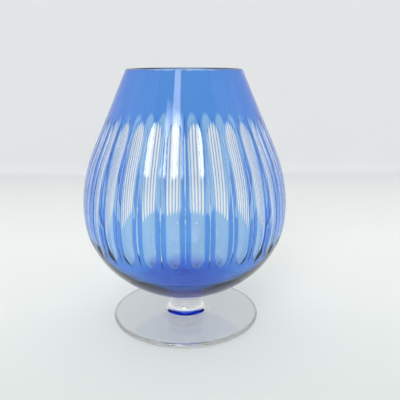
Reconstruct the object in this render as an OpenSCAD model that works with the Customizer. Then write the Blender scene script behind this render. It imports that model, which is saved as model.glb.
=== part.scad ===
// Cased crystal vase: a brandy-balloon bowl on a short stem and a round foot.
// A thin cobalt casing covers a clear crystal bowl. Upright flutes, with a fine mitre line between
// each pair, are ground through the casing into the clear glass.
// Units are millimetres, +Z is up, and the origin is the centre of the foot's underside.

/* [Overall] */
// Height of the vase
vase_h = 200; // [170:1:240]
// Outer diameter at the mouth
mouth_d = 87; // [72:1:105]
// Diameter at the widest level
belly_d = 159; // [132:1:191]
// Height of the widest level
belly_h = 93.5; // [85:0.5:105]
// Diameter of the foot
foot_d = 119; // [99:1:143]

/* [Bowl] */
// Height of the bowl's underside, which is also the top of the stem
bowl_base_h = 21.7; // [20:0.1:27]
// Extra lean of the straight flank beyond the line from belly to mouth, in degrees
flank_bend = 5; // [3:0.5:7]
// Thickness of the side wall, both layers together
wall_t = 3.6; // [3:0.1:5]
// Thickness of the glass under the inside of the bowl
base_t = 5.5; // [5:0.5:8]
// Thickness of the cobalt casing
casing_t = 0.35; // [0.25:0.05:0.5]

/* [Cutting] */
// Number of flutes around the bowl
flute_count = 30; // [24:2:32]
// Width of each flute at the widest level
flute_w = 8.8; // [7:0.1:9.6]
// Depth of each flute
flute_depth = 0.95; // [0.7:0.05:1.15]
// Height of the plain collar between the flute tips and the mouth
collar_h = 34; // [30:1:40]
// Distance from the widest level down to the flutes' lower ends
flute_drop = 23; // [20:1:26]
// Length of a flute's pointed upper end
tip_len = 13; // [10:0.5:15]
// Width of the mitre line between two flutes
mitre_w = 0.8; // [0.6:0.05:1]
// Depth of the mitre line
mitre_depth = 0.7; // [0.6:0.05:0.8]

/* [Stem and foot] */
// Diameter of the stem's waist
stem_d = 25; // [21:0.5:30]
// Radius of the curve between the stem and the foot
flare_r = 7.5; // [6:0.5:9]
// Thickness of the foot at its rounded edge
foot_edge_t = 4; // [3:0.2:5]
// Thickness of the foot under the stem
foot_centre_t = 6.2; // [5.6:0.1:7.2]

/* [Hidden] */
$fn = 180;

mouth_r = mouth_d / 2;
belly_r = belly_d / 2;
foot_r = foot_d / 2;
stem_r = stem_d / 2;
flare_foot_r = stem_r + flare_r;

// The outer curve below the belly is a side arc and a base arc, which meet at this angle
meet_angle = 45;
// Difference of the two radii for a quarter curve of a given half width and depth
function arc_step(half_w, depth) = (half_w - depth) / (sin(meet_angle) + cos(meet_angle) - 1);
function side_arc_r(half_w, depth) = half_w - arc_step(half_w, depth) * cos(meet_angle);
function base_arc_r(half_w, depth) = side_arc_r(half_w, depth) + arc_step(half_w, depth);

belly_depth = belly_h - bowl_base_h;
side_r = side_arc_r(belly_r, belly_depth);
inner_belly_r = belly_r - wall_t;
inner_depth = belly_depth - base_t;

// The outer curve above the belly is one arc and then a straight flank up to the mouth
mouth_rise = vase_h - belly_h;
mouth_inset = belly_r - mouth_r;
chord_lean = atan(mouth_inset / mouth_rise);
flank_lean = chord_lean + flank_bend;
shoulder_r = (sin(flank_lean) * mouth_rise - cos(flank_lean) * mouth_inset) / (1 - cos(flank_lean));
shoulder_h = belly_h + shoulder_r * sin(flank_lean);

// The lip is a half round of the wall's thickness
lip_r = wall_t / 2;
lip_h = vase_h - lip_r;
lip_centre_r = mouth_r + lip_r * tan(flank_lean) - lip_r / cos(flank_lean);

// Cutters stand proud of the glass by this much
cut_proud = 1;
// Each curve is set this far outside the next, so that the two cross at a true corner
crossing = 0.01;
// Larger than any outline here
far = 3 * vase_h;

// Everything inside the straight flank, moved in by inset
module flank_side(inset) {
    translate([mouth_r, vase_h]) rotate(flank_lean) translate([-far - inset, -far]) square([far, 2 * far]);
}

// Everything above a level
module above(level) {
    translate([-far, level]) square([2 * far, far]);
}

// Quarter curve below the belly, of the given half width and depth, moved in by inset
module lower_curve(half_w, depth, inset) {
    side = side_arc_r(half_w, depth);
    base = base_arc_r(half_w, depth);
    intersection() {
        translate([0, belly_h - depth + base]) circle(base - inset + crossing);
        translate([half_w - side, belly_h]) {
            circle(side - inset + 2 * crossing);
            rotate(-meet_angle) translate([-far, -far]) square([2 * far, far]);
        }
    }
}

// Half outline from the arc and the flank above the belly, over the lower curve given as a child
module bowl_region(inset) {
    intersection() {
        square([belly_d, far]);
        flank_side(inset);
        union() {
            above(shoulder_h - inset * sin(flank_lean));
            intersection() {
                translate([belly_r - shoulder_r, belly_h]) circle(shoulder_r - inset + crossing);
                union() {
                    above(belly_h);
                    children();
                }
            }
        }
    }
}

// Everything inside the bowl's outer surface, moved in by inset
module bowl_outline(inset) {
    bowl_region(inset) lower_curve(belly_r, belly_depth, inset);
}

// The space inside the bowl
module cavity_outline() {
    bowl_region(wall_t) lower_curve(inner_belly_r, inner_depth, 0);
}

// Everything below the lip's half round
module lip_limit() {
    translate([lip_centre_r, lip_h]) {
        circle(lip_r + crossing);
        rotate(flank_lean) translate([-far, -far]) square([2 * far, far]);
    }
}

// Both layers of glass together, as a half section
module wall_section() {
    intersection() {
        difference() {
            bowl_outline(0);
            cavity_outline();
        }
        lip_limit();
    }
}

// A flute is as wide, in degrees, at every level as it is at the belly
flute_angle = 2 * asin(flute_w / 2 / belly_r);
mitre_angle = 2 * asin(mitre_w / 2 / belly_r);
pitch = 360 / flute_count;

// Where the parallel part of a flute starts and ends
flute_top_h = vase_h - collar_h;
tip_base_h = flute_top_h - tip_len * cos(flank_lean);
flute_low_h = belly_h - flute_drop;
low_half_w = side_h_r(flute_low_h) * sin(flute_angle / 2);
low_base_h = flute_low_h + low_half_w;

// Outer radius of the bowl at a level on its side arc, and at a level on its flank
function side_h_r(level) = belly_r - side_r + sqrt(side_r ^ 2 - (belly_h - level) ^ 2);
function flank_h_r(level) = mouth_r + (vase_h - level) * tan(flank_lean);

// A cut between two levels, as deep as given and as wide as the angle, centred on +X
module sector_cut(low, high, depth, angle) {
    rotate(-angle / 2) rotate_extrude(angle = angle) difference() {
        translate([0, low]) square([belly_r + cut_proud, high - low]);
        bowl_outline(depth);
    }
}

// The pointed upper end of a flute: two arcs that meet at the tip, cut square to the flank
module flute_tip() {
    half_w = flank_h_r(tip_base_h) * sin(flute_angle / 2) + crossing;
    arc_r = (tip_len ^ 2 + half_w ^ 2) / (2 * half_w);
    translate([flank_h_r(tip_base_h), 0, tip_base_h]) rotate([0, -flank_lean, 0]) translate([-flute_depth, 0, 0])
        rotate([0, 90, 0]) linear_extrude(flute_depth + cut_proud) intersection() {
            translate([0, arc_r - half_w]) circle(arc_r);
            translate([0, half_w - arc_r]) circle(arc_r);
            translate([-far, -far]) square([far + crossing, 2 * far]);
        }
}

// The round lower end of a flute, cut square to the side arc
module flute_end() {
    lean = asin((belly_h - low_base_h) / side_r);
    half_w = side_h_r(low_base_h) * sin(flute_angle / 2) + crossing;
    translate([side_h_r(low_base_h), 0, low_base_h]) rotate([0, 90 + lean, 0])
        translate([0, 0, -flute_depth]) cylinder(h = flute_depth + cut_proud, r = half_w);
}

// All flutes and mitre lines; a mitre line, not a flute, faces the front
module cuts() {
    for (i = [0 : flute_count - 1]) {
        rotate(i * pitch) {
            sector_cut(low_base_h, tip_base_h, flute_depth, flute_angle);
            flute_tip();
            flute_end();
        }
        rotate((i + 0.5) * pitch) sector_cut(low_base_h, tip_base_h, mitre_depth, mitre_angle);
    }
}

module crystal_bowl() {
    color("aliceblue") difference() {
        rotate_extrude() intersection() {
            wall_section();
            bowl_outline(casing_t);
        }
        cuts();
    }
}

module blue_casing() {
    color("royalblue") difference() {
        rotate_extrude() difference() {
            wall_section();
            bowl_outline(casing_t);
        }
        cuts();
    }
}

// The stem's waist under the bowl, and the curve that spreads it onto the foot
module stem() {
    color("lightcyan") rotate_extrude() difference() {
        translate([0, foot_centre_t]) square([flare_foot_r, bowl_base_h + wall_t - foot_centre_t]);
        translate([flare_foot_r, foot_centre_t + flare_r]) circle(flare_r);
        translate([stem_r, foot_centre_t + flare_r]) square([flare_r + wall_t, bowl_base_h]);
        bowl_outline(0);
    }
}

// The round foot: flat below, thickest under the stem, with a half-round edge
module foot() {
    edge_r = foot_edge_t / 2;
    color("lightcyan") rotate_extrude() {
        translate([foot_r - edge_r, edge_r]) intersection() {
            circle(edge_r);
            translate([0, -edge_r]) square([edge_r, foot_edge_t]);
        }
        polygon([
            [0, 0],
            [foot_r - edge_r, 0],
            [foot_r - edge_r, foot_edge_t],
            [flare_foot_r, foot_centre_t],
            [0, foot_centre_t]
        ]);
    }
}

crystal_bowl();
blue_casing();
stem();
foot();
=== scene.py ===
"""Looks of the cased crystal vase: four glass pieces on a pale sweep, in the row frame, metres, +Z up."""

import math

import bpy
import numpy as np
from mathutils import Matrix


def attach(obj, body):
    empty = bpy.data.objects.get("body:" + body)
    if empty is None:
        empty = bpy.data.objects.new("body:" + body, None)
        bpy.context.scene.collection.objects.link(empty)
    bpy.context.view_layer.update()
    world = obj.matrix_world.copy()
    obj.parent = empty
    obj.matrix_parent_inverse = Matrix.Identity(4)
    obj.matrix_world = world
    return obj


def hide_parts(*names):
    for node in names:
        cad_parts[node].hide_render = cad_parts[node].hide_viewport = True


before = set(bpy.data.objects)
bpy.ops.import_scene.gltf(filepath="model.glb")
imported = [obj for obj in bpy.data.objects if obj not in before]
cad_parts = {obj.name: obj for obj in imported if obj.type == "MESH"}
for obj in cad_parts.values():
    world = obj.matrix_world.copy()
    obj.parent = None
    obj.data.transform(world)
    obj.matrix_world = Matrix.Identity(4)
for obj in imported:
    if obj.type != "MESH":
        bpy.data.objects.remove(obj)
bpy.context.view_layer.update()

MM = 0.001

# Sizes of the part's source, in millimetres
VASE_H, MOUTH_R, BELLY_R, BELLY_H = 200.0, 43.5, 79.5, 93.5
BOWL_BASE_H, FLANK_BEND, WALL_T, BASE_T, CASING_T = 21.7, 5.0, 3.6, 5.5, 0.35
STEM_R, FLARE_R, FOOT_R = 12.5, 7.5, 59.5
FOOT_EDGE_T, FOOT_CENTRE_T = 4.0, 6.2
FLUTES = 30
PITCH = 2 * math.pi / FLUTES

# The hollow that a round wheel leaves: radius of its section, depth, heights of its ends at the sides
# of the vase, and length of each run-out
WHEEL_R, FLUTE_DEPTH = 17.4, 0.95
FLUTE_TOP_H, FLUTE_LOW_H = 165.5, 66.0
TOP_RUN, LOW_RUN = 18.0, 10.0

# Mitre lines between the flutes: depth, half angle of the V in degrees, length of each run-out, heights
# of the ends, and the height at which the faint scratch above each line fades out
MITRE_DEPTH, MITRE_HALF_ANGLE, MITRE_RUN = 0.62, 38.0, 9.0
MITRE_TOP_H, MITRE_LOW_H, MITRE_FADE_H = 159.0, 66.5, 161.0
# Depth at which the scratch starts, too shallow to pass through the casing
SCRATCH_DEPTH = CASING_T * 0.7

# The row of cuts stands SLANT higher at the front than at the sides, and as much lower at the back. The
# shift is whole up to SETTLED past the ends of the cuts, and gone at LEAD past them.
SLANT, LEAD, SETTLED = 2.4, 14.0, 2.0

# The cobalt grows thicker between these heights, by this share of its thickness on the wall
GATHER_TOP_H, GATHER_LOW_H, GATHER_GAIN = 36.0, 23.0, 1.6

# A hair's breadth between pieces that are fused in the real vase
SEAM = 0.004


# ---------------------------------------------------------------- profile of the bowl

# Normal angle at which the base arc and the side arc meet
MEET_ANGLE = math.pi / 4
HALVINGS = 60


def smooth(k):
    """Eases from 0 to 1 as k does, and holds beyond."""
    k = min(1.0, max(0.0, k))
    return k * k * (3 - 2 * k)


def lower_arcs(half_w, depth):
    """Radius of the side arc and of the base arc of a quarter curve."""
    step = (half_w - depth) / (2 * math.sin(MEET_ANGLE) - 1)
    side = half_w - step * math.sin(MEET_ANGLE)
    return side, side + step


RISE, INSET = VASE_H - BELLY_H, BELLY_R - MOUTH_R
LEAN = math.atan(INSET / RISE) + math.radians(FLANK_BEND)
SHOULDER_R = (math.sin(LEAN) * RISE - math.cos(LEAN) * INSET) / (1 - math.cos(LEAN))
FLANK_ANGLE = math.pi / 2 + LEAN


class Outline:
    """Curved part of the bowl's outline, by normal angle: 0 is straight down at the axis, 90 is the belly."""

    def __init__(self, half_w, depth, belly_inset):
        self.side, self.base = lower_arcs(half_w, depth)
        self.half_w = half_w
        self.base_z = BELLY_H - depth + self.base
        self.shoulder = SHOULDER_R - belly_inset

    def at(self, angle, inset=0.0):
        """(r, z) at a normal angle, moved in by inset."""
        if angle <= MEET_ANGLE:
            reach, centre_r, centre_z = self.base, 0.0, self.base_z
        elif angle <= math.pi / 2:
            reach, centre_r, centre_z = self.side, self.half_w - self.side, BELLY_H
        else:
            reach, centre_r, centre_z = self.shoulder, BELLY_R - SHOULDER_R, BELLY_H
        reach -= inset
        return centre_r + reach * math.sin(angle), centre_z - reach * math.cos(angle)


OUTER = Outline(BELLY_R, BELLY_H - BOWL_BASE_H, 0.0)
INNER = Outline(BELLY_R - WALL_T, BELLY_H - BOWL_BASE_H - BASE_T, WALL_T)
SHOULDER_H = OUTER.at(FLANK_ANGLE)[1]

# Length along the outer surface, from the axis, at the end of each arc
S_BASE = OUTER.base * MEET_ANGLE
S_SIDE = S_BASE + OUTER.side * (math.pi / 2 - MEET_ANGLE)
S_SHOULDER = S_SIDE + SHOULDER_R * LEAN


def angle_at(z):
    """Normal angle at height z on the arcs of the outer surface."""
    low, high = 0.0, FLANK_ANGLE
    for _ in range(HALVINGS):
        mid = (low + high) / 2
        if OUTER.at(mid)[1] < z:
            low = mid
        else:
            high = mid
    return (low + high) / 2


def length_at(z):
    """Length along the outer surface, from the axis, at height z."""
    if z >= SHOULDER_H:
        return S_SHOULDER + (z - SHOULDER_H) / math.cos(LEAN)
    angle = angle_at(z)
    s = OUTER.base * min(angle, MEET_ANGLE)
    s += OUTER.side * max(0.0, min(angle, math.pi / 2) - MEET_ANGLE)
    return s + SHOULDER_R * max(0.0, angle - math.pi / 2)


S_TOP, S_LOW = length_at(FLUTE_TOP_H), length_at(FLUTE_LOW_H)
S_TOP0, S_LOW0 = S_TOP - TOP_RUN, S_LOW + LOW_RUN
S_MITRE_TOP, S_MITRE_LOW = length_at(MITRE_TOP_H), length_at(MITRE_LOW_H)
S_FADE = length_at(MITRE_FADE_H)

# Share of a flute's run-out that reaches through the casing, and where the cuts stop doing so
THROUGH = math.sqrt(1 - CASING_T / FLUTE_DEPTH)
S_CLEAR_TOP, S_CLEAR_LOW = S_TOP0 + TOP_RUN * THROUGH, S_LOW0 - LOW_RUN * THROUGH
S_V_TOP = S_MITRE_TOP - MITRE_RUN * (CASING_T - SCRATCH_DEPTH) / (MITRE_DEPTH - SCRATCH_DEPTH)
S_V_LOW = S_MITRE_LOW + MITRE_RUN * (1 - math.sqrt(1 - CASING_T / MITRE_DEPTH))


def cut_zone(s):
    """1 over the cuts, falling to 0 a little below and above them."""
    ramp = LEAD - SETTLED
    return smooth((s - S_LOW + LEAD) / ramp) * smooth((S_FADE + LEAD - s) / ramp)


class Spot:
    """Point and normal angle on the outer surface. The cuts go by s, its length before the slant."""

    def __init__(self, s, theta):
        self.s = s
        along = s - SLANT * math.sin(theta) * cut_zone(s)
        if along < S_BASE:
            self.angle = along / OUTER.base
        elif along < S_SIDE:
            self.angle = MEET_ANGLE + (along - S_BASE) / OUTER.side
        elif along < S_SHOULDER:
            self.angle = math.pi / 2 + (along - S_SIDE) / SHOULDER_R
        else:
            self.angle = FLANK_ANGLE
        self.r, self.z = OUTER.at(self.angle)
        if along >= S_SHOULDER:
            self.r -= (along - S_SHOULDER) * math.sin(LEAN)
            self.z += (along - S_SHOULDER) * math.cos(LEAN)


# ---------------------------------------------------------------- depth of the cuts

V_STEEP = 1 / math.tan(math.radians(MITRE_HALF_ANGLE))


def flute_depth(s):
    """(depth on a flute's centre line, its slope) at length s."""
    if s < S_LOW0:
        k = (S_LOW0 - s) / LOW_RUN
        return FLUTE_DEPTH * (1 - k * k), 2 * FLUTE_DEPTH * k / LOW_RUN
    if s > S_TOP0:
        k = (s - S_TOP0) / TOP_RUN
        return FLUTE_DEPTH * (1 - k * k), -2 * FLUTE_DEPTH * k / TOP_RUN
    return FLUTE_DEPTH, 0.0


def mitre_depth(s):
    """(depth at the bottom of a mitre line, its slope) at length s."""
    if s < S_MITRE_LOW + MITRE_RUN:
        k = (S_MITRE_LOW + MITRE_RUN - s) / MITRE_RUN
        return MITRE_DEPTH * (1 - k * k), 2 * MITRE_DEPTH * k / MITRE_RUN
    if s <= S_MITRE_TOP - MITRE_RUN:
        return MITRE_DEPTH, 0.0
    if s <= S_MITRE_TOP:
        k = (s - S_MITRE_TOP + MITRE_RUN) / MITRE_RUN
        fall = MITRE_DEPTH - SCRATCH_DEPTH
        return MITRE_DEPTH - fall * k, -fall / MITRE_RUN
    k = (s - S_MITRE_TOP) / (S_FADE - S_MITRE_TOP)
    return SCRATCH_DEPTH * (1 - k), -SCRATCH_DEPTH / (S_FADE - S_MITRE_TOP)


def flute_field(spot, t):
    """(depth, slope along the outline, slope across) at angle t from a flute's centre."""
    sin_a, cos_a = math.sin(spot.angle), math.cos(spot.angle)
    y = spot.r * math.sin(t)
    sag = math.sqrt(WHEEL_R**2 - y * y)
    deep, slope = flute_depth(spot.s)
    d = deep - (WHEEL_R - sag) - spot.r * (1 - math.cos(t)) * sin_a
    across = -(y / sag) * math.cos(t) - math.sin(t) * sin_a
    along = slope - (y / sag) * math.sin(t) * cos_a - (1 - math.cos(t)) * sin_a * cos_a
    return d, along, across


def mitre_field(spot, t):
    """The same at angle t from a mitre line's centre."""
    y = spot.r * t
    deep, slope = mitre_depth(spot.s)
    return deep - abs(y) * V_STEEP, slope, -math.copysign(V_STEEP, y)


def flute_half(spot, left):
    """Half width of a flute, as an angle, where it is as deep as left."""
    if flute_depth(spot.s)[0] <= left:
        return 0.0
    low, high = 0.0, PITCH / 2
    for _ in range(HALVINGS):
        mid = (low + high) / 2
        if flute_field(spot, mid)[0] > left:
            low = mid
        else:
            high = mid
    return (low + high) / 2


def mitre_half(spot, left):
    """The same for a mitre line."""
    return max(0.0, mitre_depth(spot.s)[0] - left) / V_STEEP / spot.r


def gather(z):
    """How thick the cobalt is at height z, against its thickness on the wall."""
    return 1.0 + GATHER_GAIN * smooth((GATHER_TOP_H - z) / (GATHER_TOP_H - GATHER_LOW_H))


# ---------------------------------------------------------------- mesh building


def polar(r, z, theta):
    return (r * math.cos(theta), r * math.sin(theta), z)


def turned(n_r, n_z, theta, n_u=0.0):
    """Normal with a part across the meridian plane."""
    return (
        n_r * math.cos(theta) - n_u * math.sin(theta),
        n_r * math.sin(theta) + n_u * math.cos(theta),
        n_z,
    )


def negated(normals):
    return [tuple(-x for x in n) for n in normals]


class Builder:
    """Collects points and faces, with a normal at each corner and a material index, in millimetres."""

    def __init__(self):
        self.points, self.faces, self.normals, self.mats = [], [], [], []
        self.thickness = []

    def add(self, p, thickness=1.0):
        self.points.append(p)
        self.thickness.append(thickness)
        return len(self.points) - 1

    def ring(self, r, z, thetas):
        return [self.add(polar(r, z, t)) for t in thetas]

    def face(self, ids, normals, mat):
        """Adds a face, leaving out corners that repeat."""
        kept, kept_n = [], []
        for i, n in zip(ids, normals):
            if i not in kept:
                kept.append(i)
                kept_n.append(n)
        if len(kept) > 2:
            self.faces.append(kept)
            self.normals.append(kept_n)
            self.mats.append(mat)

    def turn_over(self, start):
        """Turns over every face from number start on."""
        for f in range(start, len(self.faces)):
            self.faces[f] = self.faces[f][::-1]
            self.normals[f] = negated(self.normals[f][::-1])

    def make(self, name, materials):
        mesh = bpy.data.meshes.new(name)
        mesh.from_pydata((np.array(self.points) * MM).tolist(), [], self.faces)
        for m in materials:
            mesh.materials.append(m)
        mesh.polygons.foreach_set("material_index", self.mats)
        mesh.polygons.foreach_set("use_smooth", [True] * len(self.faces))
        mesh.update()
        shade = mesh.attributes.new("thickness", "FLOAT", "POINT")
        shade.data.foreach_set("value", [k * gather(p[2]) for k, p in zip(self.thickness, self.points)])
        flat = np.array([n for ns in self.normals for n in ns], float)
        flat /= np.linalg.norm(flat, axis=1)[:, None]
        mesh.normals_split_custom_set(flat.tolist())
        obj = bpy.data.objects.new(name, mesh)
        bpy.context.scene.collection.objects.link(obj)
        return obj


def ring_angles(count):
    return [2 * math.pi * j / count for j in range(count)]


def revolve(b, profile, thetas, mat, first=None):
    """Skin of a turned profile [(r, z, n_r, n_z)], from the ring first or its own. Returns its last ring."""
    rings = []
    for i, (r, z, _, _) in enumerate(profile):
        if i == 0 and first is not None:
            rings.append(first)
        elif r < 1e-6:
            rings.append([b.add((0.0, 0.0, z))] * len(thetas))
        else:
            rings.append(b.ring(r, z, thetas))
    for i in range(len(profile) - 1):
        low_n, high_n = profile[i][2:], profile[i + 1][2:]
        for j in range(len(thetas)):
            k = (j + 1) % len(thetas)
            b.face(
                [rings[i][j], rings[i][k], rings[i + 1][k], rings[i + 1][j]],
                [
                    turned(*low_n, thetas[j]),
                    turned(*low_n, thetas[k]),
                    turned(*high_n, thetas[k]),
                    turned(*high_n, thetas[j]),
                ],
                mat,
            )
    return rings[-1]


def arc_rows(outline, angles, inset=0.0, side=1):
    """Profile rows on an outline's arcs; side is -1 for a skin that faces the axis."""
    rows = []
    for a in angles:
        r, z = outline.at(a, inset)
        rows.append((r, z, side * math.sin(a), -side * math.cos(a)))
    return rows


# ---------------------------------------------------------------- grid of the cut zone

# Columns of one half pitch, from a mitre line's centre to a flute's centre. V_SKIN and SKIN_EDGE follow
# the edges of the openings in the casing, V_EDGE and CUT_EDGE the edges of the cuts.
V_CENTRE, V_SKIN, V_EDGE, LAND_A, LAND_B, CUT_EDGE, CUT_MID, SKIN_EDGE = range(8)
FLOOR = 5
HALF = SKIN_EDGE + FLOOR
COLUMNS = 2 * HALF * FLUTES
COARSE_T = ring_angles(COLUMNS // 3)

# Least distance of a cut's edge from its centre, and the length over which columns spread out beyond a cut
LEAST, SPREAD_RUN = 0.12, 7.0
# Where the casing is whole, its column goes to this share of the cut's half width, over this length
V_SHARE, V_CLOSING = 0.45, 2.0
CUT_SHARE, CUT_CLOSING = 0.5, 2.5

# Divisions of a run-out, of the lead below the cuts and of the collar, length of a plain division, and
# the least distance between two rings
RUN_STEPS, LEAD_STEPS, COLLAR_STEPS = 8, 5, 6
PLAIN_STEP, LEAST_STEP = 4.0, 0.25

# The lip is a half round, and the casing feathers out on its outer shoulder
LIP_R = WALL_T / 2
LIP_H = VASE_H - LIP_R
LIP_CENTRE_R = MOUTH_R + LIP_R * math.tan(LEAN) - LIP_R / math.cos(LEAN)
S_LIP = length_at(LIP_H + LIP_R * math.sin(LEAN))
CAP_SPLIT = math.acos(1 - CASING_T / LIP_R)


def make_levels():
    """Lengths of the rings of the cut zone, close together where the cuts run out."""
    kept = {S_TOP, S_LOW, S_CLEAR_TOP, S_CLEAR_LOW, S_MITRE_TOP, S_MITRE_LOW, S_V_TOP, S_V_LOW, S_FADE}
    first, last = min(kept) - LEAD, S_LIP
    kept = sorted(kept | {first, last})
    marks = {S_MITRE_LOW + MITRE_RUN, S_MITRE_TOP - MITRE_RUN}
    for q in range(RUN_STEPS + 1):
        out = math.sin(math.pi / 2 * q / RUN_STEPS)
        for share in (1.0, THROUGH):
            marks |= {S_LOW0 - LOW_RUN * share * out, S_TOP0 + TOP_RUN * share * out}
    steps = int((S_TOP0 - S_LOW0) / PLAIN_STEP)
    marks |= {S_LOW0 + (S_TOP0 - S_LOW0) * q / steps for q in range(steps + 1)}
    marks |= {first + LEAD * q / LEAD_STEPS for q in range(1, LEAD_STEPS)}
    marks |= {S_FADE + (last - S_FADE) * q / COLLAR_STEPS for q in range(1, COLLAR_STEPS)}
    for s in sorted(marks):
        if first < s < last and min(abs(s - other) for other in kept) > LEAST_STEP:
            kept.append(s)
    return sorted(kept)


def off_cut(s, low, high):
    """0 at the end of a cut that goes from low to high, growing to 1 beyond it."""
    return min(1.0, (low - s if s < low else s - high) / SPREAD_RUN)


def half_columns(spot):
    """Angles from the mitre line's centre, one for each column of a half pitch."""
    s, least = spot.s, LEAST / spot.r
    spread = [PITCH / 2 * i / HALF for i in range(HALF + 1)]
    out = list(spread)
    if S_MITRE_LOW <= s <= S_FADE:
        edge = max(mitre_half(spot, 0.0), least / 2)
        past = max(0.0, s - S_V_TOP, S_V_LOW - s)
        shut = least / 4 + (edge * V_SHARE - least / 4) * min(1.0, past / V_CLOSING)
        out[V_SKIN] = max(mitre_half(spot, CASING_T), shut)
        out[V_EDGE] = edge
    else:
        away = off_cut(s, S_MITRE_LOW, S_FADE)
        for c, tight in ((V_SKIN, least / 2 * V_SHARE), (V_EDGE, least / 2)):
            out[c] = tight + (spread[c] - tight) * away
    if S_LOW <= s <= S_TOP:
        edge = max(flute_half(spot, 0.0), least)
        past = max(0.0, s - S_CLEAR_TOP, S_CLEAR_LOW - s)
        shut = least / 2 + (edge * CUT_SHARE - least / 2) * min(1.0, past / CUT_CLOSING)
        skin = max(flute_half(spot, CASING_T), shut)
        away = 0.0
    else:
        edge, skin = least, least * CUT_SHARE
        away = off_cut(s, S_LOW, S_TOP)
    insets = [edge, (edge + skin) / 2] + [skin * (1 - q / FLOOR) for q in range(FLOOR + 1)]
    for c, inset in enumerate(insets, CUT_EDGE):
        tight = PITCH / 2 - inset
        out[c] = tight + (spread[c] - tight) * away
    a, z = out[V_EDGE], out[CUT_EDGE]
    out[LAND_A], out[LAND_B] = a + (z - a) / 3, a + (z - a) * 2 / 3
    return out


def column_angles(s):
    """Angle of every column round the bowl. Column 0 is a flute's centre, on +X."""
    angles = []
    for i in range(FLUTES):
        line = i * PITCH + PITCH / 2
        half = half_columns(Spot(s, line))
        angles += [line - half[q] for q in range(HALF, 0, -1)]
        angles += [line + half[q] for q in range(HALF)]
    return angles


def column_kind(j):
    """Column of the half pitch, 0 at a mitre line and HALF at a flute's centre, that column j is."""
    return abs(HALF - j % (2 * HALF))


def strip_kind(j):
    """Index within a half pitch of the strip between columns j and j + 1."""
    return min(column_kind(j), column_kind(j + 1))


def surface(spot, theta, strip):
    """(depth, normal) of the outer surface in a strip, as if its cut went on past its edges."""
    flute_t = (theta + PITCH / 2) % PITCH - PITCH / 2
    mitre_t = theta % PITCH - PITCH / 2
    sin_a, cos_a = math.sin(spot.angle), math.cos(spot.angle)
    if strip < V_EDGE and S_MITRE_LOW <= spot.s <= S_FADE:
        d, along, across = mitre_field(spot, mitre_t)
    elif strip >= CUT_EDGE and S_LOW <= spot.s <= S_TOP:
        d, along, across = flute_field(spot, flute_t)
    else:
        return 0.0, turned(sin_a, -cos_a, theta)
    return max(0.0, d), turned(sin_a + along * cos_a, -cos_a + along * sin_a, theta, across)


LEVELS = make_levels()
ANGLES = [column_angles(s) for s in LEVELS]
SPOTS = [[Spot(s, t) for t in ts] for s, ts in zip(LEVELS, ANGLES)]
# Normal angle of the lowest ring, which the slant doesn't reach
LOW_ANGLE = SPOTS[0][0].angle


def point_at(i, j, depth):
    """Point below the outer surface by depth, square to it."""
    spot = SPOTS[i][j]
    r = spot.r - depth * math.sin(spot.angle)
    return polar(r, spot.z + depth * math.cos(spot.angle), ANGLES[i][j])


def depth_at(i, j):
    """Depth of the cut surface at a grid point."""
    kind = column_kind(j)
    if kind < V_EDGE:
        return surface(SPOTS[i][j], ANGLES[i][j], V_CENTRE)[0]
    if kind > CUT_EDGE:
        return surface(SPOTS[i][j], ANGLES[i][j], CUT_EDGE)[0]
    return 0.0


DEPTHS = [[depth_at(i, j) for j in range(COLUMNS)] for i in range(len(LEVELS))]


def strip_is_open(i, j):
    """True where the casing is cut right through, between levels i and i + 1."""
    strip = strip_kind(j)
    mid = (LEVELS[i] + LEVELS[i + 1]) / 2
    if strip < V_SKIN:
        return S_V_LOW < mid < S_V_TOP
    if strip >= SKIN_EDGE:
        return S_CLEAR_LOW < mid < S_CLEAR_TOP
    return False


def at_opening(i, j):
    """True for a grid point on the edge of a place where the casing is cut through."""
    rows = [q for q in (i - 1, i) if 0 <= q < len(LEVELS) - 1]
    return any(strip_is_open(q, k) for q in rows for k in ((j - 1) % COLUMNS, j))


def grid_corners(i, j):
    """Corners (level, column) of the face between levels i, i + 1 and columns j, j + 1."""
    k = (j + 1) % COLUMNS
    return (i, j), (i, k), (i + 1, k), (i + 1, j)


def cut_normals(i, j):
    strip = strip_kind(j)
    return [surface(SPOTS[a][c], ANGLES[a][c], strip)[1] for a, c in grid_corners(i, j)]


def plain_normals(i, j):
    normals = []
    for a, c in grid_corners(i, j):
        angle = SPOTS[a][c].angle
        normals.append(turned(math.sin(angle), -math.cos(angle), ANGLES[a][c]))
    return normals


def grid_face(b, i, j, rings, normals, mat):
    b.face([rings[a][c] for a, c in grid_corners(i, j)], normals, mat)


def stitch(b, fine, coarse, fine_t, n_r, n_z, mat, fine_above):
    """Joins a ring of the grid to a coarse one, which has a third of its points."""
    for j in range(len(coarse)):
        k = (j + 1) % len(coarse)
        f = [fine[(3 * j + q) % len(fine)] for q in range(4)]
        ft = [fine_t[(3 * j + q) % len(fine)] for q in range(4)]
        for ids, angles in (
            ([coarse[j], f[1], f[0]], [COARSE_T[j], ft[1], ft[0]]),
            ([coarse[j], coarse[k], f[2], f[1]], [COARSE_T[j], COARSE_T[k], ft[2], ft[1]]),
            ([coarse[k], f[3], f[2]], [COARSE_T[k], ft[3], ft[2]]),
        ):
            if not fine_above:
                ids, angles = ids[::-1], angles[::-1]
            b.face(ids, [turned(n_r, n_z, t) for t in angles], mat)


def lip_point(beta):
    """(r, z, n_r, n_z) on the lip's round, at angle beta from the outer surface's normal."""
    a = LEAN + beta
    return LIP_CENTRE_R + LIP_R * math.cos(a), LIP_H + LIP_R * math.sin(a), math.cos(a), math.sin(a)


# ---------------------------------------------------------------- pieces

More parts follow.
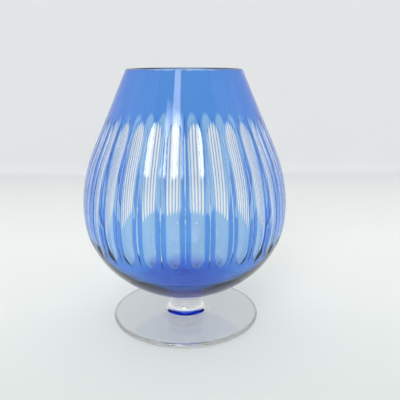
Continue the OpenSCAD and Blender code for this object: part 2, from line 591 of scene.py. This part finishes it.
# Divisions of the underside, of the casing's seat on the stem, of the lip and of the inside
UNDER_STEPS, SEAT_STEPS, LIP_STEPS, CAP_STEPS = 30, 6, 12, 4
FLANK_STEPS, INSIDE_STEPS = 6, 60
STEM_T, FOOT_T = ring_angles(192), ring_angles(240)
FLARE_STEPS, WAIST_STEPS, STEM_SEAT_STEPS = 16, 4, 8
RIM_STEPS, FOOT_TOP_STEPS = 24, 8
# A cut this much short of the casing's thickness counts as through it
FEATHER = 0.02


def make_clear_bowl(glass, joint):
    """Clear inner gather: its outside is bare glass in the cuts and fused to the casing elsewhere."""
    b = Builder()
    skin = CASING_T + SEAM
    rings = []
    for i, depths in enumerate(DEPTHS):
        rings.append([b.add(point_at(i, j, max(deep, skin))) for j, deep in enumerate(depths)])
    for i in range(len(LEVELS) - 1):
        for j in range(COLUMNS):
            if strip_is_open(i, j):
                grid_face(b, i, j, rings, cut_normals(i, j), 0)
            else:
                grid_face(b, i, j, rings, plain_normals(i, j), 1)
    # Fused underside, from the axis to the lowest ring
    rows = arc_rows(OUTER, [LOW_ANGLE * q / UNDER_STEPS for q in range(UNDER_STEPS)], skin)
    top = revolve(b, rows, COARSE_T, 1)
    stitch(b, rings[0], top, ANGLES[0], math.sin(LOW_ANGLE), -math.cos(LOW_ANGLE), 1, True)
    # Lip: bare round from the casing's edge over to the inside
    bare = math.pi - CAP_SPLIT
    cap = [lip_point(CAP_SPLIT + bare * q / LIP_STEPS) for q in range(LIP_STEPS + 1)]
    first = b.ring(*cap[0][:2], COARSE_T)
    stitch(b, rings[-1], first, ANGLES[-1], math.cos(LEAN), math.sin(LEAN), 1, False)
    edge = revolve(b, cap, COARSE_T, 0, first=first)
    # Inside, from the lip down to the axis
    edge_r, edge_z = cap[-1][:2]
    inner_r, inner_z = INNER.at(FLANK_ANGLE)
    rows = []
    for q in range(FLANK_STEPS):
        t = q / FLANK_STEPS
        r, z = edge_r + (inner_r - edge_r) * t, edge_z + (inner_z - edge_z) * t
        rows.append((r, z, -math.cos(LEAN), -math.sin(LEAN)))
    down = [FLANK_ANGLE * (INSIDE_STEPS - q) / INSIDE_STEPS for q in range(INSIDE_STEPS + 1)]
    revolve(b, rows + arc_rows(INNER, down, side=-1), COARSE_T, 0, first=edge)
    return b.make("clear_bowl", [glass, joint])


def make_cobalt_casing(glass, tint, joint):
    """Cobalt skin: polished outside, fused inside and on the stem, open in every flute and mitre line."""
    b = Builder()
    outer, inner = [], []
    for i, depths in enumerate(DEPTHS):
        outer.append([])
        inner.append([])
        for j, deep in enumerate(depths):
            left = max(0.0, 1 - deep / CASING_T)
            under = b.add(point_at(i, j, CASING_T), left)
            inner[i].append(under)
            through = deep > CASING_T - FEATHER or at_opening(i, j)
            outer[i].append(under if through else b.add(point_at(i, j, deep)))
    for i in range(len(LEVELS) - 1):
        for j in range(COLUMNS):
            if strip_is_open(i, j):
                continue
            grid_face(b, i, j, outer, cut_normals(i, j), 0)
            start = len(b.faces)
            grid_face(b, i, j, inner, plain_normals(i, j), 1)
            b.turn_over(start)
    # Underside, in two rings of faces: over the stem, where it is fused outside too, and beyond
    seat = math.asin(STEM_R / OUTER.base)
    beyond = UNDER_STEPS - SEAT_STEPS
    over_stem = [seat * q / SEAT_STEPS for q in range(SEAT_STEPS + 1)]
    past_stem = [seat + (LOW_ANGLE - seat) * q / beyond for q in range(beyond)]
    for rings, inset, seat_mat, mat in ((outer, 0.0, 2, 0), (inner, CASING_T, 1, 1)):
        start = len(b.faces)
        stem_ring = revolve(b, arc_rows(OUTER, over_stem, inset), COARSE_T, seat_mat)
        top = revolve(b, arc_rows(OUTER, past_stem, inset), COARSE_T, mat, first=stem_ring)
        stitch(b, rings[0], top, ANGLES[0], math.sin(LOW_ANGLE), -math.cos(LOW_ANGLE), mat, True)
        if rings is inner:
            b.turn_over(start)
    # Over the lip's outer shoulder, where the skin feathers out
    cap = [lip_point(CAP_SPLIT * q / CAP_STEPS) for q in range(1, CAP_STEPS + 1)]
    first = b.ring(*cap[0][:2], COARSE_T)
    a = LEAN + CAP_SPLIT / CAP_STEPS / 2
    stitch(b, outer[-1], first, ANGLES[-1], math.cos(a), math.sin(a), 0, False)
    last = revolve(b, cap, COARSE_T, 0, first=first)
    start = len(b.faces)
    stitch(b, inner[-1], last, ANGLES[-1], math.cos(LEAN), math.sin(LEAN), 1, False)
    b.turn_over(start)
    return b.make("cobalt_casing", [glass, tint, joint])


def make_stem(glass, joint):
    """Clear waist under the bowl, spreading onto the foot."""
    b = Builder()
    flare_z, spread_r = FOOT_CENTRE_T + FLARE_R, STEM_R + FLARE_R
    low = [(r, FOOT_CENTRE_T + SEAM, 0.0, -1.0) for r in (0.0, 7.0, 14.0, spread_r)]
    rim = revolve(b, low, STEM_T, 1)
    # Flare from the foot up to the waist, and the waist itself
    rows = []
    for q in range(FLARE_STEPS + 1):
        a = math.pi / 2 * q / FLARE_STEPS
        r, z = spread_r - FLARE_R * math.sin(a), flare_z - FLARE_R * math.cos(a)
        rows.append((r, z, math.sin(a), math.cos(a)))
    top_angle = math.asin(STEM_R / (OUTER.base + SEAM))
    top_z = OUTER.at(top_angle, -SEAM)[1]
    for q in range(1, WAIST_STEPS + 1):
        rows.append((STEM_R, flare_z + (top_z - flare_z) * q / WAIST_STEPS, 1.0, 0.0))
    neck = revolve(b, rows, STEM_T, 0, first=rim)
    inward = [top_angle * (STEM_SEAT_STEPS - q) / STEM_SEAT_STEPS for q in range(STEM_SEAT_STEPS + 1)]
    revolve(b, arc_rows(OUTER, inward, -SEAM, side=-1), STEM_T, 1, first=neck)
    return b.make("waist", [glass, joint])


def make_foot(glass, joint, rim_glass_painted_reflection):
    """Clear round foot: flat below, half-round edge, gently domed above. The half-round edge has darker
    glass, a painted reflection.
    """
    b = Builder()
    edge = FOOT_EDGE_T / 2
    centre_r, spread_r = FOOT_R - edge, STEM_R + FLARE_R
    fall = math.atan((FOOT_CENTRE_T - FOOT_EDGE_T) / (centre_r - spread_r))
    flat = [(r, 0.0, 0.0, -1.0) for r in (0.0, 15.0, 30.0, 45.0, centre_r)]
    ring = revolve(b, flat, FOOT_T, 0)
    rows = []
    for q in range(RIM_STEPS + 1):
        a = -math.pi / 2 + (math.pi - fall) * q / RIM_STEPS
        rows.append((centre_r + edge * math.cos(a), edge + edge * math.sin(a), math.cos(a), math.sin(a)))
    shoulder = revolve(b, rows, FOOT_T, 2, first=ring)
    edge_r, edge_z = rows[-1][:2]
    rows = []
    for q in range(FOOT_TOP_STEPS + 1):
        t = q / FOOT_TOP_STEPS
        r, z = edge_r + (spread_r - edge_r) * t, edge_z + (FOOT_CENTRE_T - edge_z) * t
        rows.append((r, z, math.sin(fall), math.cos(fall)))
    inner = revolve(b, rows, FOOT_T, 0, first=shoulder)
    top = [(r, FOOT_CENTRE_T, 0.0, 1.0) for r in (spread_r, 13.0, 6.0, 0.0)]
    revolve(b, top, FOOT_T, 1, first=inner)
    return b.make("round_foot", [glass, joint, rim_glass_painted_reflection])


# ---------------------------------------------------------------- materials

GLASS_IOR = 1.54
WHITE = (1.0, 1.0, 1.0)

# Share of red, green and blue that gets through the casing straight across. Cobalt glass stops most red
# at once but lets the far red by, so that it turns purple where it is deep.
COBALT_PASSES = (0.34, 0.60, 0.945)
FAR_RED, FAR_RED_SHARE = 0.72, 0.25
# The tint's slant is held at this cosine, and its thickness varies between these shares
LEAST_COSINE = 0.3
THIN_SHARE, THICK_SHARE = 0.86, 1.14


def add_math(tree, op, a, b):
    """Output of a Math node on two values or sockets."""
    n = tree.nodes.new("ShaderNodeMath")
    n.operation = op
    for socket, value in zip(n.inputs, (a, b)):
        if isinstance(value, (int, float)):
            socket.default_value = value
        else:
            tree.links.new(value, socket)
    return n.outputs[0]


def new_material(name):
    m = bpy.data.materials.new(name)
    m.use_nodes = True
    tree = m.node_tree
    tree.nodes.clear()
    out = tree.nodes.new("ShaderNodeOutputMaterial")
    return m, tree, out


def object_noise(tree, scale, detail):
    """Noise that stays with the object."""
    place = tree.nodes.new("ShaderNodeTexCoord")
    noise = tree.nodes.new("ShaderNodeTexNoise")
    noise.inputs["Scale"].default_value = scale
    noise.inputs["Detail"].default_value = detail
    tree.links.new(place.outputs["Object"], noise.inputs["Vector"])
    return noise.outputs["Fac"]


def crystal(name, colour, ripple, scale):
    """Polished glass with the faint ripple of a hand-blown surface, its height in metres."""
    m, tree, out = new_material(name)
    glass = tree.nodes.new("ShaderNodeBsdfPrincipled")
    glass.inputs["Base Color"].default_value = (*colour, 1.0)
    glass.inputs["Transmission Weight"].default_value = 1.0
    glass.inputs["IOR"].default_value = GLASS_IOR
    glass.inputs["Roughness"].default_value = 0.0
    bump = tree.nodes.new("ShaderNodeBump")
    bump.inputs["Strength"].default_value = 1.0
    bump.inputs["Distance"].default_value = ripple
    tree.links.new(object_noise(tree, scale, 1.5), bump.inputs["Height"])
    tree.links.new(bump.outputs["Normal"], glass.inputs["Normal"])
    tree.links.new(glass.outputs["BSDF"], out.inputs["Surface"])
    return m


def fused_joint():
    """Where two gathers of glass are fused, so that light goes straight on."""
    m, tree, out = new_material("fused_joint")
    clear = tree.nodes.new("ShaderNodeBsdfTransparent")
    clear.inputs["Color"].default_value = (*WHITE, 1.0)
    tree.links.new(clear.outputs["BSDF"], out.inputs["Surface"])
    return m


def cobalt():
    """Colour of one pass through the casing, deeper where light crosses it at a slant or it is thicker."""
    m, tree, out = new_material("cobalt_tint")

    def math_node(op, a, b):
        return add_math(tree, op, a, b)

    slant = tree.nodes.new("ShaderNodeLayerWeight")
    slant.inputs["Blend"].default_value = 0.5
    cosine = math_node("MAXIMUM", math_node("SUBTRACT", 1.0, slant.outputs["Facing"]), LEAST_COSINE)
    uneven = tree.nodes.new("ShaderNodeMapRange")
    uneven.inputs["To Min"].default_value = THIN_SHARE
    uneven.inputs["To Max"].default_value = THICK_SHARE
    tree.links.new(object_noise(tree, 14.0, 2.0), uneven.inputs["Value"])
    thickness = tree.nodes.new("ShaderNodeAttribute")
    thickness.attribute_name = "thickness"
    deep = math_node("MULTIPLY", uneven.outputs["Result"], thickness.outputs["Fac"])
    path = math_node("DIVIDE", deep, cosine)
    red, green, blue = COBALT_PASSES
    near_red = (red - FAR_RED * FAR_RED_SHARE) / (1 - FAR_RED_SHARE)
    far = math_node("MULTIPLY", math_node("POWER", FAR_RED, path), FAR_RED_SHARE)
    near = math_node("MULTIPLY", math_node("POWER", near_red, path), 1 - FAR_RED_SHARE)
    join = tree.nodes.new("ShaderNodeCombineColor")
    tree.links.new(math_node("ADD", near, far), join.inputs["Red"])
    tree.links.new(math_node("POWER", green, path), join.inputs["Green"])
    tree.links.new(math_node("POWER", blue, path), join.inputs["Blue"])
    clear = tree.nodes.new("ShaderNodeBsdfTransparent")
    tree.links.new(join.outputs["Color"], clear.inputs["Color"])
    tree.links.new(clear.outputs["BSDF"], out.inputs["Surface"])
    return m


clear_glass = crystal("clear_crystal", WHITE, ripple=0.00002, scale=60.0)
skin_glass = crystal("cobalt_surface", WHITE, ripple=0.00004, scale=45.0)
stem_glass = crystal("stem_crystal", WHITE, ripple=0.00002, scale=80.0)
# The foot's faint blue is painted light, in place of the blue light that reaches the foot through the cobalt
# bowl
foot_glass_painted_blue = crystal("foot_crystal", (0.985, 0.99, 1.0), ripple=0.00003, scale=50.0)
# Painted reflection: the rim's glass is darker, in place of the dark room that a real rim mirrors
rim_glass_painted_reflection = crystal("foot_rim_painted_reflection", (0.66, 0.66, 0.63), ripple=0.00003, scale=50.0)
joint = fused_joint()

for piece, node, slot in (
    (make_clear_bowl(clear_glass, joint), "crystal_bowl", "clear_crystal"),
    (make_cobalt_casing(skin_glass, cobalt(), joint), "blue_casing", "cobalt_casing"),
    (make_stem(stem_glass, joint), "stem", "stem_crystal"),
    (make_foot(foot_glass_painted_blue, joint, rim_glass_painted_reflection), "foot", "foot_crystal"),
):
    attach(piece, "root")
    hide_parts(node)


# ---------------------------------------------------------------- stage

# Colours of the sweep from the near part of the table to the wall, by distance along Y in metres. They are
# painted shade: darker towards the near edge, in the bend and on the wall, in place of the fall of light
# there.
STAGE_NEAR, WALL_Y = -0.2, 0.56
STAGE_PAINTED_SHADE_COLOURS = (
    (STAGE_NEAR, (0.69, 0.745, 0.725)),
    (0.02, (0.82, 0.855, 0.845)),
    (0.18, (0.84, 0.865, 0.857)),
    (0.43, (0.76, 0.78, 0.77)),
    (0.545, (0.70, 0.72, 0.74)),
    (WALL_Y, (0.72, 0.735, 0.75)),
)
# Share of the sweep's colour that is light of its own, where the camera sees it directly or in the glass
GLOW_SHARE = 0.5
# Sweep in metres: how far under the foot, radius and divisions of its bend, half width and wall height
STAGE_DROP, BEND_R, BEND_STEPS, HALF_WIDTH = 0.0003, 0.02, 8, 3.0
TABLE_NEAR, TABLE_MID, WALL_MID, WALL_TOP = -2.5, -1.0, 0.5, 1.3
# Rays that have met no matt surface yet have a diffuse depth below this
NO_BOUNCE = 0.5


def painted_shade_sweep_colour(tree):
    """Colour of the sweep by distance along Y, with painted shade: darker towards the near edge, in the bend
    and on the wall.
    """
    place = tree.nodes.new("ShaderNodeTexCoord")
    split = tree.nodes.new("ShaderNodeSeparateXYZ")
    near = tree.nodes.new("ShaderNodeMapRange")
    near.inputs["From Min"].default_value = STAGE_NEAR
    near.inputs["From Max"].default_value = WALL_Y
    ramp = tree.nodes.new("ShaderNodeValToRGB")
    tree.links.new(place.outputs["Object"], split.inputs["Vector"])
    tree.links.new(split.outputs["Y"], near.inputs["Value"])
    tree.links.new(near.outputs["Result"], ramp.inputs["Fac"])
    stops = ramp.color_ramp.elements
    for y, _ in STAGE_PAINTED_SHADE_COLOURS[1:-1]:
        stops.new((y - STAGE_NEAR) / (WALL_Y - STAGE_NEAR))
    for stop, (_, colour) in zip(stops, STAGE_PAINTED_SHADE_COLOURS):
        stop.color = (*colour, 1.0)
    return ramp.outputs["Color"]


def sweep_material():
    m, tree, out = new_material("pale_sweep")
    # The colour carries the sweep's painted shade into both the matt surface and its glow
    colour = painted_shade_sweep_colour(tree)
    matt = tree.nodes.new("ShaderNodeBsdfPrincipled")
    matt.inputs["Roughness"].default_value = 0.75
    matt.inputs["Specular IOR Level"].default_value = 0.2
    tree.links.new(colour, matt.inputs["Base Color"])
    glow = tree.nodes.new("ShaderNodeEmission")
    tree.links.new(colour, glow.inputs["Color"])
    path = tree.nodes.new("ShaderNodeLightPath")
    seen = add_math(tree, "MAXIMUM", path.outputs["Is Camera Ray"], path.outputs["Is Transmission Ray"])
    seen = add_math(tree, "MAXIMUM", seen, path.outputs["Is Glossy Ray"])
    direct = add_math(tree, "LESS_THAN", path.outputs["Diffuse Depth"], NO_BOUNCE)
    share = add_math(tree, "MULTIPLY", add_math(tree, "MULTIPLY", seen, direct), GLOW_SHARE)
    mix = tree.nodes.new("ShaderNodeMixShader")
    tree.links.new(share, mix.inputs[0])
    tree.links.new(matt.outputs["BSDF"], mix.inputs[1])
    tree.links.new(glow.outputs["Emission"], mix.inputs[2])
    tree.links.new(mix.outputs["Shader"], out.inputs["Surface"])
    return m


def pale_stage():
    """Pale table that meets a pale wall behind, as one sheet."""
    rows = [(TABLE_NEAR, -STAGE_DROP), (TABLE_MID, -STAGE_DROP), (WALL_Y - BEND_R, -STAGE_DROP)]
    for q in range(1, BEND_STEPS + 1):
        a = math.pi / 2 * q / BEND_STEPS
        rows.append((WALL_Y - BEND_R + BEND_R * math.sin(a), BEND_R - STAGE_DROP - BEND_R * math.cos(a)))
    rows += [(WALL_Y, WALL_MID), (WALL_Y, WALL_TOP)]
    points = [(x, y, z) for y, z in rows for x in (-HALF_WIDTH, HALF_WIDTH)]
    faces = [[2 * i, 2 * i + 1, 2 * i + 3, 2 * i + 2] for i in range(len(rows) - 1)]
    mesh = bpy.data.meshes.new("pale_sweep")
    mesh.from_pydata(points, [], faces)
    mesh.polygons.foreach_set("use_smooth", [True] * len(faces))
    mesh.materials.append(sweep_material())
    obj = bpy.data.objects.new("pale_sweep", mesh)
    bpy.context.scene.collection.objects.link(obj)
    return obj


pale_stage()


# ---------------------------------------------------------------- room

# The room's light by direction, in degrees: azimuth from -Y, positive towards +X, and height above the
# horizon. Each range has a low end, a high end, and half the width of its soft edges.
ROOM_LEVEL = 0.60
LOW_HEIGHTS, LOW_GAIN = (-90.0, 32.0, 8.0), 0.38
OVERHEAD_HEIGHTS, OVERHEAD_GAIN = (62.0, 120.0, 6.0), 0.9
DIM_FRONT = (-52.0, 56.0, 1.0), (20.0, 75.0, 4.0), -0.25
LOWER_PANE = (-31.0, -3.0, 2.0), (26.0, 40.0, 2.0), 11.0
UPPER_PANE = (-20.5, -7.5, 0.6), (40.0, 56.0, 1.0), 5.0
ROOM_COLOUR = (1.0, 0.995, 0.985)
# What the camera sees past the sweep, directly and through the glass
PALE_COLOUR = (0.79, 0.81, 0.82)


def studio_world():
    """Even pale room, dimmer high up in front, with one tall bright window of two panes."""
    world = bpy.data.worlds.new("studio")
    bpy.context.scene.world = world
    world.use_nodes = True
    tree = world.node_tree
    tree.nodes.clear()

    def math_node(op, a, b=0.0):
        return add_math(tree, op, a, b)

    def degrees(radians):
        return math_node("MULTIPLY", radians, 180 / math.pi)

    def between(value, low, high, soft):
        """1 where value lies between low and high."""
        up = tree.nodes.new("ShaderNodeMapRange")
        up.inputs["From Min"].default_value = low - soft
        up.inputs["From Max"].default_value = low + soft
        tree.links.new(value, up.inputs["Value"])
        down = tree.nodes.new("ShaderNodeMapRange")
        down.inputs["From Min"].default_value = high - soft
        down.inputs["From Max"].default_value = high + soft
        down.inputs["To Min"].default_value = 1.0
        down.inputs["To Max"].default_value = 0.0
        tree.links.new(value, down.inputs["Value"])
        return math_node("MULTIPLY", up.outputs["Result"], down.outputs["Result"])

    def background(colour):
        room = tree.nodes.new("ShaderNodeBackground")
        room.inputs["Color"].default_value = (*colour, 1.0)
        return room

    place = tree.nodes.new("ShaderNodeTexCoord")
    split = tree.nodes.new("ShaderNodeSeparateXYZ")
    tree.links.new(place.outputs["Generated"], split.inputs["Vector"])
    x, y, z = split.outputs
    azimuth = degrees(math_node("ARCTAN2", x, math_node("MULTIPLY", y, -1.0)))
    height = degrees(math_node("ARCSINE", z))
    lights = [(between(height, *LOW_HEIGHTS), LOW_GAIN), (between(height, *OVERHEAD_HEIGHTS), OVERHEAD_GAIN)]
    for across, up, gain in (DIM_FRONT, LOWER_PANE, UPPER_PANE):
        lights.append((math_node("MULTIPLY", between(azimuth, *across), between(height, *up)), gain))
    level = ROOM_LEVEL
    for where, gain in lights:
        level = math_node("ADD", level, math_node("MULTIPLY", where, gain))
    room, pale = background(ROOM_COLOUR), background(PALE_COLOUR)
    tree.links.new(level, room.inputs["Strength"])
    path = tree.nodes.new("ShaderNodeLightPath")
    seen = math_node("MAXIMUM", path.outputs["Is Camera Ray"], path.outputs["Is Transmission Ray"])
    direct = math_node("LESS_THAN", path.outputs["Diffuse Depth"], NO_BOUNCE)
    mix = tree.nodes.new("ShaderNodeMixShader")
    tree.links.new(math_node("MULTIPLY", seen, direct), mix.inputs[0])
    tree.links.new(room.outputs["Background"], mix.inputs[1])
    tree.links.new(pale.outputs["Background"], mix.inputs[2])
    out = tree.nodes.new("ShaderNodeOutputWorld")
    tree.links.new(mix.outputs["Shader"], out.inputs["Surface"])
    world.cycles.sampling_method = "MANUAL"
    world.cycles.sample_map_resolution = 512


studio_world()


# ---------------------------------------------------------------- camera

# Fitted to the photo's outline: place in metres, downward tilt and turn in degrees, lens in millimetres
CAMERA_PLACE, CAMERA_TILT, CAMERA_TURN = (0.0, -0.40659, 0.20674), 14.974, -1.6657
LENS, SENSOR = 47.42, 36.0

camera_data = bpy.data.cameras.new("camera")
camera_data.sensor_width = SENSOR
camera_data.lens = LENS
camera_data.clip_start = 0.01
camera_data.clip_end = 20.0
camera = bpy.data.objects.new("camera", camera_data)
camera.location = CAMERA_PLACE
camera.rotation_euler = (math.radians(90 - CAMERA_TILT), 0.0, math.radians(CAMERA_TURN))
scene = bpy.context.scene
scene.collection.objects.link(camera)
scene.camera = camera

scene.view_settings.view_transform = "Standard"
# Light crosses many faces on its way through both walls of the bowl
scene.cycles.max_bounces = 32
scene.cycles.diffuse_bounces = 4
scene.cycles.glossy_bounces = 24
scene.cycles.transmission_bounces = 32
scene.cycles.transparent_max_bounces = 64
